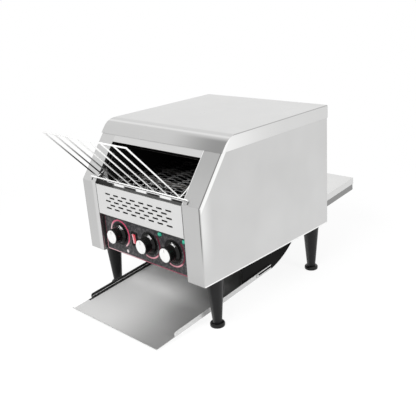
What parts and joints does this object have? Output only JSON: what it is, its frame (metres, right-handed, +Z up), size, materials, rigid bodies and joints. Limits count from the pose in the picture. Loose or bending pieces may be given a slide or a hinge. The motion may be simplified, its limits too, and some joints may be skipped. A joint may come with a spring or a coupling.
{
  "type": "conveyor toaster",
  "caption": "Countertop conveyor toaster: sloped wire feed rack, wire mesh belt between quartz heaters, return chute, draw-out toast tray, rotary controls and tapered legs.",
  "frame": {"origin": "on the counter, under the middle of the overall box from the feed rack's front edge to the rear shelf's back edge", "axes": "+X to the right of a user facing the controls, +Y from the controls to the rear, +Z up"},
  "size_m": [0.365, 0.65, 0.4059],
  "materials": {
    "brushed_steel_case": "fine brushed stainless steel",
    "galvanised_inner_sheet": "plain galvanised sheet",
    "bright_reflector": "bright aluminised sheet",
    "black_panel": "dark grey printed overlay",
    "quartz_tube": "milky quartz tube",
    "ceramic": "unglazed ceramic",
    "bronze_bushing": "sintered bronze",
    "motor_case": "zinc plated case",
    "bright_shaft": "ground steel",
    "sprocket_steel": "laser cut steel",
    "belt_wire": "drawn stainless wire, dulled by heat",
    "control_case": "phenolic moulding",
    "black_moulding": "black moulded plastic",
    "knob_black": "glossy black phenolic",
    "knob_cap_silver": "spun aluminium",
    "rocker_red": "translucent red plastic",
    "lamp_green": "translucent green plastic",
    "rack_wire": "chromed wire",
    "black_chute_metal": "black coated sheet",
    "brushed_tray_steel": "brushed stainless steel",
    "shelf_steel": "brushed stainless steel",
    "fastener_steel": "plated steel",
    "leg_black": "satin black moulded leg",
    "foot_black": "glossy black foot"
  },
  "bodies": {
    "casing": {"left_side_panel": "brushed_steel_case", "right_side_panel": "brushed_steel_case", "top_cover": "brushed_steel_case", "rear_panel": "brushed_steel_case", "front_header": "brushed_steel_case", "vent_plate": "brushed_steel_case", "base_plate": "galvanised_inner_sheet", "bay_partition": "galvanised_inner_sheet", "left_inner_wall": "galvanised_inner_sheet", "right_inner_wall": "galvanised_inner_sheet", "crumb_tray": "galvanised_inner_sheet", "entry_ramp": "galvanised_inner_sheet", "upper_reflector": "bright_reflector", "lower_reflector": "bright_reflector", "control_panel": "black_panel", "upper_heaters": "quartz_tube", "lower_heaters": "quartz_tube", "heater_end_caps": "ceramic", "terminal_block": "ceramic", "shaft_bushings": "bronze_bushing", "drive_motor": "motor_case", "tray_studs": "bright_shaft", "speed_controller": "control_case", "heat_regulators": "control_case", "fan_frame": "black_moulding", "rocker_bezel": "black_moulding", "cord_gland": "black_moulding", "indicator_lamps": "lamp_green", "chute_sheet": "black_chute_metal", "left_chute_cheek": "black_chute_metal", "right_chute_cheek": "black_chute_metal", "rear_shelf": "shelf_steel", "rear_shelf_liner": "shelf_steel", "rear_screws": "fastener_steel", "leg_bolts": "fastener_steel", "legs": "leg_black", "leg_feet": "foot_black"},
    "feed_rack": {"feed_rack": "rack_wire"},
    "toast_tray": {"toast_tray": "brushed_tray_steel"},
    "speed_knob": {"speed_knob": "knob_black", "speed_knob_cap": "knob_cap_silver", "speed_spindle": "bright_shaft"},
    "upper_heat_knob": {"upper_heat_knob": "knob_black", "upper_heat_knob_cap": "knob_cap_silver", "upper_heat_spindle": "bright_shaft"},
    "lower_heat_knob": {"lower_heat_knob": "knob_black", "lower_heat_knob_cap": "knob_cap_silver", "lower_heat_spindle": "bright_shaft"},
    "power_rocker": {"power_rocker": "rocker_red"},
    "fan_rotor": {"fan_rotor": "black_moulding"},
    "drive_roller": {"drive_shaft": "bright_shaft", "drive_sprockets": "sprocket_steel", "belt_rear_wrap": "belt_wire"},
    "idler_roller": {"idler_shaft": "bright_shaft", "idler_sprockets": "sprocket_steel", "belt_front_wrap": "belt_wire"},
    "belt_rear_link": {"belt_rear_link": "belt_wire"},
    "belt_front_link": {"belt_front_link": "belt_wire"},
    "belt_upper": {"belt_upper_run": "belt_wire"},
    "belt_lower": {"belt_lower_run": "belt_wire"}
  },
  "joints": [
    {"name": "speed_knob_turn", "type": "hinge", "parent": "casing", "child": "speed_knob", "pos_m": [-0.07799, -0.21368, 0.16], "axis": [0, 1, 0], "range_deg": [0, 270]},
    {"name": "upper_heat_knob_turn", "type": "hinge", "parent": "casing", "child": "upper_heat_knob", "pos_m": [0.01729, -0.21368, 0.16], "axis": [0, 1, 0], "range_deg": [0, 300]},
    {"name": "lower_heat_knob_turn", "type": "hinge", "parent": "casing", "child": "lower_heat_knob", "pos_m": [0.08924, -0.21368, 0.16], "axis": [0, 1, 0], "range_deg": [0, 300]},
    {"name": "power_rocker_press", "type": "hinge", "parent": "casing", "child": "power_rocker", "pos_m": [-0.0297, -0.20217, 0.1585], "axis": [-1, 0, 0], "range_deg": [0, 14]},
    {"name": "toast_tray_slide", "type": "slide", "parent": "casing", "child": "toast_tray", "axis": [0, -0.9954, -0.0958], "range_m": [0, 0.04]},
    {"name": "feed_rack_tilt", "type": "hinge", "parent": "casing", "child": "feed_rack", "pos_m": [0, -0.21268, 0.282], "axis": [-1, 0, 0], "range_deg": [0, 35]},
    {"name": "fan_spin", "type": "hinge", "parent": "casing", "child": "fan_rotor", "pos_m": [0.07, 0.00133, 0.1107], "axis": [0, 0, 1], "continuous": true},
    {"name": "drive_shaft_turn", "type": "hinge", "parent": "casing", "child": "drive_roller", "pos_m": [0, 0.12433, 0.24735], "axis": [-1, 0, 0], "range_deg": [0, 36]},
    {"name": "idler_shaft_turn", "type": "hinge", "parent": "casing", "child": "idler_roller", "pos_m": [0, -0.15568, 0.24735], "axis": [-1, 0, 0], "range_deg": [0, 36]},
    {"name": "belt_upper_travel", "type": "slide", "parent": "casing", "child": "belt_upper", "axis": [0, 1, 0], "range_m": [0, 0.014]},
    {"name": "belt_front_link_turn", "type": "hinge", "parent": "idler_roller", "child": "belt_front_link", "pos_m": [0, -0.16899, 0.26567], "axis": [1, 0, 0], "range_deg": [0, 18]},
    {"name": "belt_rear_link_turn", "type": "hinge", "parent": "drive_roller", "child": "belt_rear_link", "pos_m": [0, 0.13764, 0.22902], "axis": [1, 0, 0], "range_deg": [0, 18]},
    {"name": "belt_lower_travel", "type": "slide", "parent": "casing", "child": "belt_lower", "axis": [0, -1, 0], "range_m": [0, 0.014]}
  ],
  "couplings": [
    {"joint": "idler_shaft_turn", "follows": "drive_shaft_turn", "ratio": 1},
    {"joint": "belt_upper_travel", "follows": "drive_shaft_turn", "m_per_rad": 0.02228},
    {"joint": "belt_front_link_turn", "follows": "drive_shaft_turn", "ratio": 0.5},
    {"joint": "belt_rear_link_turn", "follows": "drive_shaft_turn", "ratio": 0.5},
    {"joint": "belt_lower_travel", "follows": "drive_shaft_turn", "m_per_rad": 0.02228}
  ]
}
